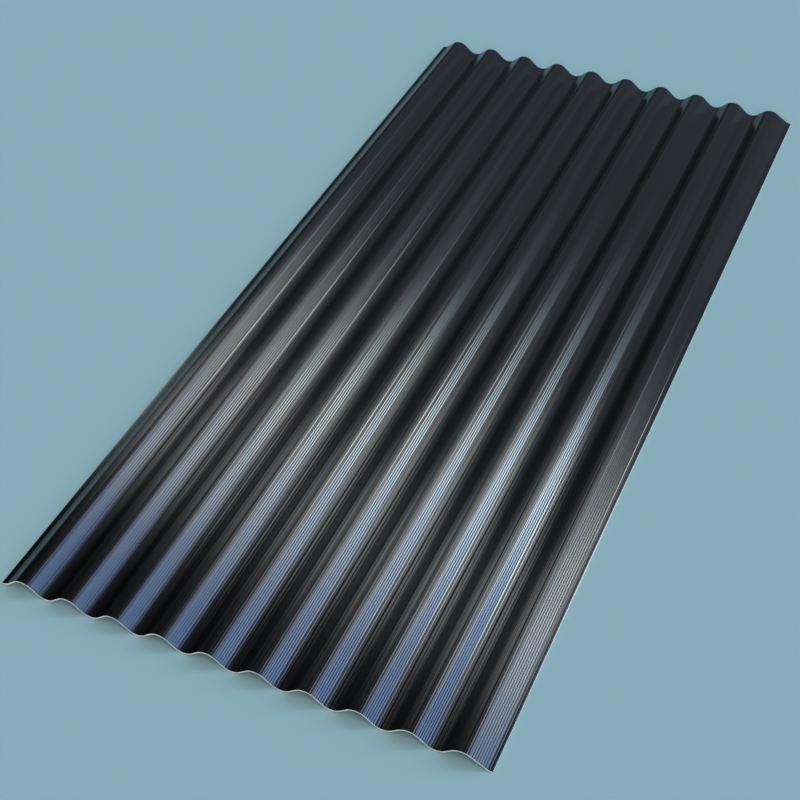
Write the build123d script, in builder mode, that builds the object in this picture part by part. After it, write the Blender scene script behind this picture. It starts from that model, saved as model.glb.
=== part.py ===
"""Corrugated roofing sheet: ten full waves of thin plastic, lying flat with the waves along Y.

The section is one strip of even thickness. Each wave is a crest arc and a trough arc, joined by
straight flanks that are tangent to both. Both side edges come down to a trough's lowest line, and
the last flank, at the right edge, is spread wider than the others, so that it falls less steeply.
Units are millimetres. The origin is under the middle of the sheet, on the surface that it lies on.
"""
from build123d import *
import math
import os

# Driving dimensions
SHEET_LENGTH = 1500.0
WAVE_COUNT = 10
WAVE_PITCH = 70.0
WAVE_DEPTH = 18.0
FLANK_STRAIGHT = 13.0
SHEET_THICKNESS = 2.0
RIGHT_EDGE_SPREAD = 5.0

# Overall width, from the left edge's trough to the right edge's
SHEET_WIDTH = WAVE_COUNT * WAVE_PITCH + RIGHT_EDGE_SPREAD

# Bend radius on the sheet's middle line, at which both arcs are tangent to the straight flank
HALF_PITCH = WAVE_PITCH / 2
BEND_RADIUS = (HALF_PITCH**2 + WAVE_DEPTH**2 - FLANK_STRAIGHT**2) / (4 * WAVE_DEPTH)

# Radii of the bend's two faces
INNER_RADIUS = BEND_RADIUS - SHEET_THICKNESS / 2
OUTER_RADIUS = BEND_RADIUS + SHEET_THICKNESS / 2


def flank_slope(half_pitch):
    """Slope of a flank: the inner tangent of a trough circle and a crest circle this far across."""
    centre_drop = 2 * BEND_RADIUS - WAVE_DEPTH
    centre_distance = math.hypot(half_pitch, centre_drop)
    return math.degrees(
        math.asin(2 * BEND_RADIUS / centre_distance) - math.atan2(centre_drop, half_pitch)
    )


FLANK_ANGLE = flank_slope(HALF_PITCH)

# Last flank, between the same two bends set further apart
LAST_HALF_PITCH = HALF_PITCH + RIGHT_EDGE_SPREAD
LAST_ANGLE = flank_slope(LAST_HALF_PITCH)
LAST_STRAIGHT = math.sqrt(FLANK_STRAIGHT**2 + LAST_HALF_PITCH**2 - HALF_PITCH**2)


def flank(before, length):
    """Draw the straight flank that carries on from the arc before it."""
    start = before @ 1
    return Line(start, start + (before % 1) * length)


def wave_face(start_height, trough_radius, crest_radius):
    """Draw one face of the section from the left edge to the right edge, and return both its ends."""
    left_edge = (-SHEET_WIDTH / 2, start_height)
    trough = JernArc(left_edge, (1, 0), trough_radius, FLANK_ANGLE)
    for _ in range(WAVE_COUNT - 1):
        rise = flank(trough, FLANK_STRAIGHT)
        crest = JernArc(rise @ 1, rise % 1, crest_radius, -2 * FLANK_ANGLE)
        fall = flank(crest, FLANK_STRAIGHT)
        trough = JernArc(fall @ 1, fall % 1, trough_radius, 2 * FLANK_ANGLE)
    last_rise = flank(trough, FLANK_STRAIGHT)
    last_crest = JernArc(last_rise @ 1, last_rise % 1, crest_radius, -FLANK_ANGLE - LAST_ANGLE)
    last_fall = flank(last_crest, LAST_STRAIGHT)
    last_trough = JernArc(last_fall @ 1, last_fall % 1, trough_radius, LAST_ANGLE)
    return left_edge, last_trough @ 1


# Roofing sheet
with BuildPart() as roofing_sheet:
    with BuildSketch(Plane.XZ):
        with BuildLine():
            lower_left, lower_right = wave_face(0, OUTER_RADIUS, INNER_RADIUS)
            upper_left, upper_right = wave_face(SHEET_THICKNESS, INNER_RADIUS, OUTER_RADIUS)
            Line(lower_left, upper_left)
            Line(lower_right, upper_right)
        make_face()
    extrude(amount=SHEET_LENGTH / 2, both=True)

os.makedirs("parts", exist_ok=True)
roofing_sheet.part.label = "roofing_sheet"
export_step(roofing_sheet.part, "parts/roofing_sheet.step")
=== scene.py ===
"""Corrugated roofing sheet in fine-ribbed black plastic with pale sawn edges, on a floor in a studio.

Everything is in metres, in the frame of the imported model: +Y along the waves, +X across, +Z up.
"""
import math
from typing import NamedTuple

import bpy
import numpy as np
from mathutils import Matrix, Vector


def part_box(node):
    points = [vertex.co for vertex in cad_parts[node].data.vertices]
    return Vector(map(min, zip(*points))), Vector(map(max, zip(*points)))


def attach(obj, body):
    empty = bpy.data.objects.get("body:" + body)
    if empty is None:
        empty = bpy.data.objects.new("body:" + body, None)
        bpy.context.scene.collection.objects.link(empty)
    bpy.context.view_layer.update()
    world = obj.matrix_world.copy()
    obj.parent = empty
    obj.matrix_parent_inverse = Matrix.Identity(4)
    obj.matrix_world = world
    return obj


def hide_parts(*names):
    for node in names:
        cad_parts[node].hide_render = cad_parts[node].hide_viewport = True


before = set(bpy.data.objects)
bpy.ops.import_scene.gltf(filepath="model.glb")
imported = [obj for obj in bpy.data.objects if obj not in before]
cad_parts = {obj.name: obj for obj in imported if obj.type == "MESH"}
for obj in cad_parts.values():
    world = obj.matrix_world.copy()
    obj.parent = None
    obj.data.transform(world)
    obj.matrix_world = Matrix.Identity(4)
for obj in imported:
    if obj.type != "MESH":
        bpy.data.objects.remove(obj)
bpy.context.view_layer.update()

# Section of the sheet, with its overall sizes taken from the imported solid
NODE = "roofing_sheet"
LOW, HIGH = (np.array(corner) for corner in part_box(NODE))
WAVE_COUNT = 10
THICKNESS = 0.002
FLANK_STRAIGHT = 0.013
RIGHT_EDGE_SPREAD = 0.005
PITCH = (HIGH[0] - LOW[0] - RIGHT_EDGE_SPREAD) / WAVE_COUNT
HALF_PITCH = PITCH / 2
DEPTH = HIGH[2] - LOW[2] - THICKNESS
BEND_RADIUS = (HALF_PITCH**2 + DEPTH**2 - FLANK_STRAIGHT**2) / (4 * DEPTH)

# Widths of the half waves from left to right, the last one spread wider
HALF_WAVES = [HALF_PITCH] * (2 * WAVE_COUNT - 1) + [HALF_PITCH + RIGHT_EDGE_SPREAD]

# Fine ribs of the weather side: shallow round beads, each with a notch on its right that falls gently
# and rises steeply to the next bead
RIBS_PER_WAVE = 24
BEAD_POINTS = 5
BEAD_DROP = 0.000050
NOTCH_WIDTH = 0.0010
NOTCH_RISE = 0.00002
NOTCH_DEPTH = 0.00025

# Eased side edges: a narrow bevel along the weather side
BEVEL_WIDTH = 0.00065
BEVEL_DROP = 0.00048

# Steps of the mesh along the sheet, and the angle from which a crease is shaded as an edge
LENGTH_STEPS = 10
SHARP_ANGLE = math.radians(6)

# Places of the sheet's surfaces in its UV map, as u and v of two corners
WEATHER_UV = (0.000, 0.040, 0.485, 1.000)
UNDERSIDE_UV = (0.515, 0.040, 1.000, 1.000)
NEAR_CUT_UV = (0.000, 0.000, 0.485, 0.012)
FAR_CUT_UV = (0.515, 0.000, 1.000, 0.012)
LEFT_CUT_UV = (0.000, 0.020, 0.485, 0.032)
RIGHT_CUT_UV = (0.515, 0.020, 1.000, 0.032)

# Material slots of the sheet's mesh
PLASTIC = 0
CUT = 1

# Noise of the materials: its detail, the part of its range that is used, and the stretch of even noise
NOISE_DETAIL = 4.0
NOISE_SPAN = (0.3, 0.7)
EVEN = (1.0, 1.0, 1.0)

# Black plastic: a faint mottle of near-blacks, and a gloss that varies in lengthwise streaks
PLASTIC_IOR = 1.53
PLASTIC_COLOURS = ((0.0014, 0.0015, 0.0017), (0.0028, 0.0030, 0.0033))
PLASTIC_ROUGHNESS = (0.11, 0.17)
MOTTLE_STRETCH = (1.0, 0.35, 1.0)
MOTTLE_SCALE = 22.0
STREAK_STRETCH = (1.0, 0.02, 1.0)
STREAK_SCALE = 90.0

# Sawn edge: the same plastic whitened by the saw
SAWN_COLOURS = ((0.62, 0.60, 0.55), (0.80, 0.78, 0.73))
SAWN_ROUGHNESS = (0.5, 0.75)
SAWN_MOTTLE_SCALE = 60.0
SAW_MARK_SCALE = 900.0
SAW_MARK_HEIGHT = 0.0001

# Plain pale floor
FLOOR_SIDE = 60.0
FLOOR_COLOUR = (0.280, 0.450, 0.480, 1.0)
FLOOR_ROUGHNESS = 0.9
FLOOR_SPECULAR = 0.2

# Camera, fitted to the sheet's outline, with its lens and sensor in millimetres
CAMERA_PLACE = Vector((0.6431, -1.6147, 1.5003))
CAMERA_AIM = Vector((-0.0067, -0.2250, 0.0100))
CAMERA_ROLL = math.radians(-0.93)
CAMERA_LENS = 64.28
CAMERA_SENSOR = 36.0


class Panel(NamedTuple):
    """A soft light panel, placed by two angles in degrees, as seen from the sheet.

    The cone is measured from the waves' direction +Y, and the roll about that direction, from straight
    up towards +X. Softness is the width of the panel's edges in cone and in roll. A leaning panel's
    cone falls as its roll grows, and is given where the roll is zero.
    """

    cone: tuple
    roll: tuple
    softness: tuple
    radiance: tuple
    leaning: bool = False


# Surround of the studio: dim towards the sheet's far end, fading over these cones to nearly black
FAR_RADIANCE = (0.25, 0.32, 0.39)
DARK_RADIANCE = (0.03, 0.035, 0.04)
DARKENING_CONES = (50, 62)

# Pale horizon, fading over these heights on the unit sphere
HORIZON_RADIANCE = (0.46, 0.60, 0.66)
HORIZON_HEIGHTS = (0.04, 0.09)

# Cone that a leaning panel loses for each degree of roll
LEAN = 0.60

# Panels of the studio, each hung in front of those before it
PANELS = (
    # Dark wall on the left
    Panel((-10, 96), (-130, -52), (4, 20), DARK_RADIANCE),
    # Silver of the bands at mid-length, dimmer towards the near end
    Panel((50, 59.5), (18, 60), (5, 30), (1.6, 1.75, 1.85)),
    Panel((48, 56.5), (8, 60), (6, 12), (3.2, 3.5, 3.5)),
    Panel((56, 72), (18, 50), (5, 16), (0.8, 0.84, 0.92)),
    # Warm rim of the bands
    Panel((50, 68), (36, 77), (6, 8), (3.4, 2.9, 2.3)),
    # Cool white on the flanks, brightest on the right
    Panel((84.6, 91.5), (42, 67), (5, 18), (8.0, 9.8, 11.2), leaning=True),
    Panel((85.8, 91.5), (59, 68), (5, 7), (32.5, 37.0, 37.0), leaning=True),
    # Blue of the right waves
    Panel((46, 75), (64, 77), (8, 6), (5.2, 7.5, 9.6)),
    Panel((51.5, 75), (61, 77), (6, 6), (3.0, 5.2, 8.9)),
    # Blue of the near end, over a dim ground
    Panel((59.3, 75), (18, 77), (5, 10), (0.45, 0.50, 0.62)),
    Panel((59.3, 75), (45, 77), (5, 24), (2.3, 4.2, 8.2)),
    # Thin lines beside the troughs
    Panel((52.5, 57.5), (-46, -16), (3, 8), (3.0, 3.2, 3.3)),
    Panel((52.5, 58.5), (-80, -60), (4, 8), (0.6, 0.66, 0.69)),
    # Broad light from behind the camera, with a brighter part on the right
    Panel((74, 200), (-78, 78), (10, 12), (0.40, 0.41, 0.42)),
    Panel((92, 200), (14, 70), (14, 18), (2.40, 2.40, 2.34)),
)

# Sockets of a Mix node that hold colours: behind, in front and mixed
MIX_BEHIND = 6
MIX_FRONT = 7
MIX_RESULT = 2


def flank(width):
    """Straight length and slope of the flank in a half wave of this width."""
    centre_drop = 2 * BEND_RADIUS - DEPTH
    centre_distance = math.hypot(width, centre_drop)
    straight = math.sqrt(width**2 + DEPTH**2 - 4 * DEPTH * BEND_RADIUS)
    slope = math.asin(2 * BEND_RADIUS / centre_distance) - math.atan2(centre_drop, width)
    return straight, slope


def half_run(width):
    """Length of the section's middle line over a half wave of this width."""
    straight, slope = flank(width)
    return straight + 2 * BEND_RADIUS * slope


RIB_RUN = 2 * half_run(HALF_PITCH) / RIBS_PER_WAVE
SHEET_RUN = sum(half_run(width) for width in HALF_WAVES)

# One rib's points along the section, and how far each is sunk below it
BEAD_RUN = RIB_RUN - NOTCH_WIDTH
BEAD_SUNK = BEAD_DROP * np.linspace(-1, 1, BEAD_POINTS) ** 2
RIB_POINTS = [*np.linspace(0, BEAD_RUN, BEAD_POINTS), RIB_RUN - NOTCH_RISE, RIB_RUN]
RIB_SUNK = [*BEAD_SUNK, BEAD_DROP + NOTCH_DEPTH, BEAD_DROP]


def climb(along, width):
    """Place across and up from a trough's lowest line, and tilt, this far along a half wave."""
    straight, slope = flank(width)
    bend = BEND_RADIUS * slope
    turned = np.clip(along / BEND_RADIUS, 0, slope)
    climbed = np.clip(along - bend, 0, straight)
    tilt = slope - np.clip((along - bend - straight) / BEND_RADIUS, 0, slope)
    across = np.sin(turned) + math.sin(slope) - np.sin(tilt)
    up = 1 - np.cos(turned) + np.cos(tilt) - math.cos(slope)
    across = BEND_RADIUS * across + climbed * math.cos(slope)
    up = BEND_RADIUS * up + climbed * math.sin(slope)
    return across, up, np.minimum(turned, tilt)


def offset_line(run, offset):
    """The section's line at this distance above its middle line, as x and z.

    The run is the distance along the middle line from the left edge.
    """
    x, z, tilt = np.zeros((3, len(run)))
    start, left = 0.0, LOW[0]
    for number, width in enumerate(HALF_WAVES):
        end, right = start + half_run(width), left + width
        here = (run >= start) & (run <= end)
        rising = number % 2 == 0
        if rising:
            across, z[here], tilt[here] = climb(run[here] - start, width)
            x[here] = left + across
        else:
            across, z[here], tilt[here] = climb(end - run[here], width)
            x[here] = right - across
            tilt[here] *= -1
        start, left = end, right
    return x - offset * np.sin(tilt), LOW[2] + THICKNESS / 2 + z + offset * np.cos(tilt)


def rib_runs():
    """Distances along the section where the mesh has a point."""
    starts = np.arange(0.0, SHEET_RUN, RIB_RUN)
    run = np.add.outer(starts, RIB_POINTS[:-1]).ravel()
    inner = run[(run > BEVEL_WIDTH + NOTCH_RISE) & (run < SHEET_RUN - BEVEL_WIDTH - NOTCH_RISE)]
    return np.concatenate([[0.0, BEVEL_WIDTH], inner, [SHEET_RUN - BEVEL_WIDTH, SHEET_RUN]])


def rib_relief(run):
    """How far the weather side is sunk below the plain section, at these distances along it."""
    from_edge = np.minimum(run, SHEET_RUN - run)
    bevel = np.interp(from_edge, [0.0, BEVEL_WIDTH], [BEVEL_DROP, 0.0])
    return np.where(from_edge > BEVEL_WIDTH, np.interp(run % RIB_RUN, RIB_POINTS, RIB_SUNK), bevel)


def sheet_points(run, y):
    """Points of the plain underside and of the ribbed weather side, at each run and y."""
    points = np.empty((2, len(run), len(y), 3))
    offsets = np.full_like(run, -THICKNESS / 2), THICKNESS / 2 - rib_relief(run)
    for side, offset in zip(points, offsets):
        x, z = offset_line(run, offset)
        side[..., 0] = x[:, None]
        side[..., 1] = y
        side[..., 2] = z[:, None]
    return points


def grid_quads(numbers):
    """Quads between neighbouring points of a grid, facing along its first axis cross its second."""
    corners = numbers[:-1, :-1], numbers[1:, :-1], numbers[1:, 1:], numbers[:-1, 1:]
    return np.stack(corners, axis=-1).reshape(-1, 4)


def grid_uvs(first, second, corners):
    """UV places of a grid's points, from their shares of its two axes and its corners in the map."""
    u0, v0, u1, v1 = corners
    u = u0 + (u1 - u0) * first
    v = v0 + (v1 - v0) * second
    return np.stack(np.meshgrid(u, v, indexing="ij"), axis=-1).reshape(-1, 2)


def sheet_mesh():
    """The whole sheet as one closed mesh: ribbed weather side, plain underside and four cut edges."""
    run = rib_runs()
    y = np.linspace(LOW[1], HIGH[1], LENGTH_STEPS + 1)
    points = sheet_points(run, y)
    numbers = np.arange(points[..., 0].size).reshape(points.shape[:3])
    underside, weather = numbers

    across = run / run[-1]
    along = (y - y[0]) / (y[-1] - y[0])
    through = np.array([0.0, 1.0])
    # Each surface's grid of points, their shares of its two axes, its place in the UV map, its material
    # slot, and whether its quads are turned over to face outwards
    patches = (
        (weather, across, along, WEATHER_UV, PLASTIC, False),
        (underside, across, along, UNDERSIDE_UV, PLASTIC, True),
        (numbers[:, :, 0].T, across, through, NEAR_CUT_UV, CUT, False),
        (numbers[:, :, -1].T, across, through, FAR_CUT_UV, CUT, True),
        (numbers[:, 0].T, along, through, LEFT_CUT_UV, CUT, True),
        (numbers[:, -1].T, along, through, RIGHT_CUT_UV, CUT, False),
    )
    quads, corner_uvs, slots = [], [], []
    for grid, first, second, corners, slot, flipped in patches:
        turn = -1 if flipped else 1
        places = grid_quads(np.arange(grid.size).reshape(grid.shape))[:, ::turn]
        quads.append(grid_quads(grid)[:, ::turn])
        corner_uvs.append(grid_uvs(first, second, corners)[places].reshape(-1, 2))
        slots.append(np.full(len(places), slot, dtype=np.int32))

    mesh = bpy.data.meshes.new("ribbed_sheet")
    mesh.from_pydata(points.reshape(-1, 3).tolist(), [], np.concatenate(quads).tolist())
    uv_map = mesh.uv_layers.new(name="OFBake")
    uv_map.uv.foreach_set("vector", np.concatenate(corner_uvs).astype(np.float32).ravel())
    mesh.polygons.foreach_set("material_index", np.concatenate(slots))
    mesh.shade_smooth()
    mesh.set_sharp_from_angle(angle=SHARP_ANGLE)
    mesh.update()
    return mesh


def new_material(name):
    """A material with a Principled shader, its node tree and that shader."""
    material = bpy.data.materials.new(name)
    material.use_nodes = True
    tree = material.node_tree
    return material, tree, tree.nodes["Principled BSDF"]


def stretched_noise(tree, stretch, scale):
    """Noise over the sheet's own place, drawn out by the stretch on each axis."""
    place = tree.nodes.new("ShaderNodeTexCoord")
    mapping = tree.nodes.new("ShaderNodeMapping")
    mapping.inputs["Scale"].default_value = stretch
    noise = tree.nodes.new("ShaderNodeTexNoise")
    noise.inputs["Scale"].default_value = scale
    noise.inputs["Detail"].default_value = NOISE_DETAIL
    tree.links.new(place.outputs["Object"], mapping.inputs["Vector"])
    tree.links.new(mapping.outputs["Vector"], noise.inputs["Vector"])
    return noise.outputs["Fac"]


def ramp(tree, value, span, colours):
    """A colour that goes from the first colour to the second over this span of the value."""
    node = tree.nodes.new("ShaderNodeValToRGB")
    for element, position, colour in zip(node.color_ramp.elements, span, colours):
        element.position = position
        element.color = (*colour, 1)
    tree.links.new(value, node.inputs["Fac"])
    return node.outputs["Color"]


def spread(tree, value, span, results, smooth=False):
    """A number that goes from the first result to the second over this span of the value."""
    node = tree.nodes.new("ShaderNodeMapRange")
    node.interpolation_type = "SMOOTHSTEP" if smooth else "LINEAR"
    node.inputs["From Min"].default_value, node.inputs["From Max"].default_value = span
    node.inputs["To Min"].default_value, node.inputs["To Max"].default_value = results
    tree.links.new(value, node.inputs["Value"])
    return node.outputs["Result"]


def bump(tree, shader, value, height):
    """Fine unevenness of this height, in metres, on the shader's normal."""
    node = tree.nodes.new("ShaderNodeBump")
    node.inputs["Strength"].default_value = 1.0
    node.inputs["Distance"].default_value = height
    tree.links.new(value, node.inputs["Height"])
    tree.links.new(node.outputs["Normal"], shader.inputs["Normal"])


def black_plastic():
    """Glossy black plastic with faint lengthwise streaks from the extruder."""
    material, tree, shader = new_material("black_plastic")
    mottle = stretched_noise(tree, MOTTLE_STRETCH, MOTTLE_SCALE)
    streaks = stretched_noise(tree, STREAK_STRETCH, STREAK_SCALE)
    tree.links.new(ramp(tree, mottle, NOISE_SPAN, PLASTIC_COLOURS), shader.inputs["Base Color"])
    tree.links.new(spread(tree, streaks, NOISE_SPAN, PLASTIC_ROUGHNESS), shader.inputs["Roughness"])
    shader.inputs["IOR"].default_value = PLASTIC_IOR
    return material


def sawn_edge():
    """The same plastic whitened by the saw, pale and dull at the cut edges."""
    material, tree, shader = new_material("sawn_edge")
    mottle = stretched_noise(tree, EVEN, SAWN_MOTTLE_SCALE)
    saw_marks = stretched_noise(tree, EVEN, SAW_MARK_SCALE)
    tree.links.new(ramp(tree, mottle, NOISE_SPAN, SAWN_COLOURS), shader.inputs["Base Color"])
    tree.links.new(spread(tree, saw_marks, NOISE_SPAN, SAWN_ROUGHNESS), shader.inputs["Roughness"])
    shader.inputs["IOR"].default_value = PLASTIC_IOR
    bump(tree, shader, saw_marks, SAW_MARK_HEIGHT)
    return material


def make_sheet():
    """The dressed sheet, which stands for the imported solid."""
    sheet = bpy.data.objects.new("ribbed_roofing_sheet", sheet_mesh())
    bpy.context.scene.collection.objects.link(sheet)
    sheet.data.materials.append(black_plastic())
    sheet.data.materials.append(sawn_edge())
    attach(sheet, "root")
    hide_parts(NODE)


def make_floor():
    """A plain pale floor under the sheet."""
    half = FLOOR_SIDE / 2
    mesh = bpy.data.meshes.new("floor")
    corners = [(-half, -half, 0), (half, -half, 0), (half, half, 0), (-half, half, 0)]
    mesh.from_pydata(corners, [], [(0, 1, 2, 3)])
    floor = bpy.data.objects.new("floor", mesh)
    bpy.context.scene.collection.objects.link(floor)
    material, _, shader = new_material("pale_floor")
    shader.inputs["Base Color"].default_value = FLOOR_COLOUR
    shader.inputs["Roughness"].default_value = FLOOR_ROUGHNESS
    shader.inputs["Specular IOR Level"].default_value = FLOOR_SPECULAR
    mesh.materials.append(material)


def arithmetic(tree, operation, *operands):
    """One arithmetic node; an operand is a number or another node's output."""
    node = tree.nodes.new("ShaderNodeMath")
    node.operation = operation
    for socket, operand in zip(node.inputs, operands):
        if isinstance(operand, (int, float)):
            socket.default_value = operand
        else:
            tree.links.new(operand, socket)
    return node.outputs["Value"]


def soft_window(tree, angle, span, softness):
    """One inside this span of an angle and zero outside, with edges of this width, in degrees."""
    edge = softness / 2
    opening, closing = ((math.radians(limit - edge), math.radians(limit + edge)) for limit in span)
    opened = spread(tree, angle, opening, (0.0, 1.0), smooth=True)
    still_open = spread(tree, angle, closing, (1.0, 0.0), smooth=True)
    return arithmetic(tree, "MULTIPLY", opened, still_open)


def over(tree, colour, share, radiance):
    """The colour behind, covered in this share by a light of this radiance."""
    node = tree.nodes.new("ShaderNodeMix")
    node.data_type = "RGBA"
    node.clamp_factor = True
    tree.links.new(share, node.inputs["Factor"])
    tree.links.new(colour, node.inputs[MIX_BEHIND])
    node.inputs[MIX_FRONT].default_value = (*radiance, 1)
    return node.outputs[MIX_RESULT]


def make_world():
    """A soft studio: a dim surround, pale at the horizon, with light panels hung in it."""
    world = bpy.data.worlds.new("studio")
    bpy.context.scene.world = world
    world.use_nodes = True
    tree = world.node_tree
    place = tree.nodes.new("ShaderNodeTexCoord")
    split = tree.nodes.new("ShaderNodeSeparateXYZ")
    tree.links.new(place.outputs["Generated"], split.inputs["Vector"])
    x, y, z = split.outputs
    cone = arithmetic(tree, "ARCCOSINE", y)
    roll = arithmetic(tree, "ARCTAN2", x, z)
    leaning_cone = arithmetic(tree, "ADD", cone, arithmetic(tree, "MULTIPLY", roll, LEAN))

    darkening = tuple(math.radians(limit) for limit in DARKENING_CONES)
    darkness = spread(tree, cone, darkening, (0.0, 1.0), smooth=True)
    colour = ramp(tree, darkness, (0.0, 1.0), (FAR_RADIANCE, DARK_RADIANCE))
    for panel in PANELS:
        cone_softness, roll_softness = panel.softness
        panel_cone = leaning_cone if panel.leaning else cone
        cone_window = soft_window(tree, panel_cone, panel.cone, cone_softness)
        roll_window = soft_window(tree, roll, panel.roll, roll_softness)
        share = arithmetic(tree, "MULTIPLY", cone_window, roll_window)
        colour = over(tree, colour, share, panel.radiance)
    horizon = spread(tree, z, HORIZON_HEIGHTS, (1.0, 0.0), smooth=True)
    colour = over(tree, colour, horizon, HORIZON_RADIANCE)
    tree.links.new(colour, tree.nodes["Background"].inputs["Color"])


def make_camera():
    """The camera at the photograph's viewing angle."""
    data = bpy.data.cameras.new("camera")
    data.lens = CAMERA_LENS
    data.sensor_width = CAMERA_SENSOR
    camera = bpy.data.objects.new("camera", data)
    bpy.context.scene.collection.objects.link(camera)
    turned = (CAMERA_AIM - CAMERA_PLACE).to_track_quat("-Z", "Y").to_matrix().to_4x4()
    camera.matrix_world = (
        Matrix.Translation(CAMERA_PLACE) @ turned @ Matrix.Rotation(CAMERA_ROLL, 4, "Z")
    )
    bpy.context.scene.camera = camera


make_sheet()
make_floor()
make_world()
make_camera()
bpy.context.scene.view_settings.view_transform = "Standard"
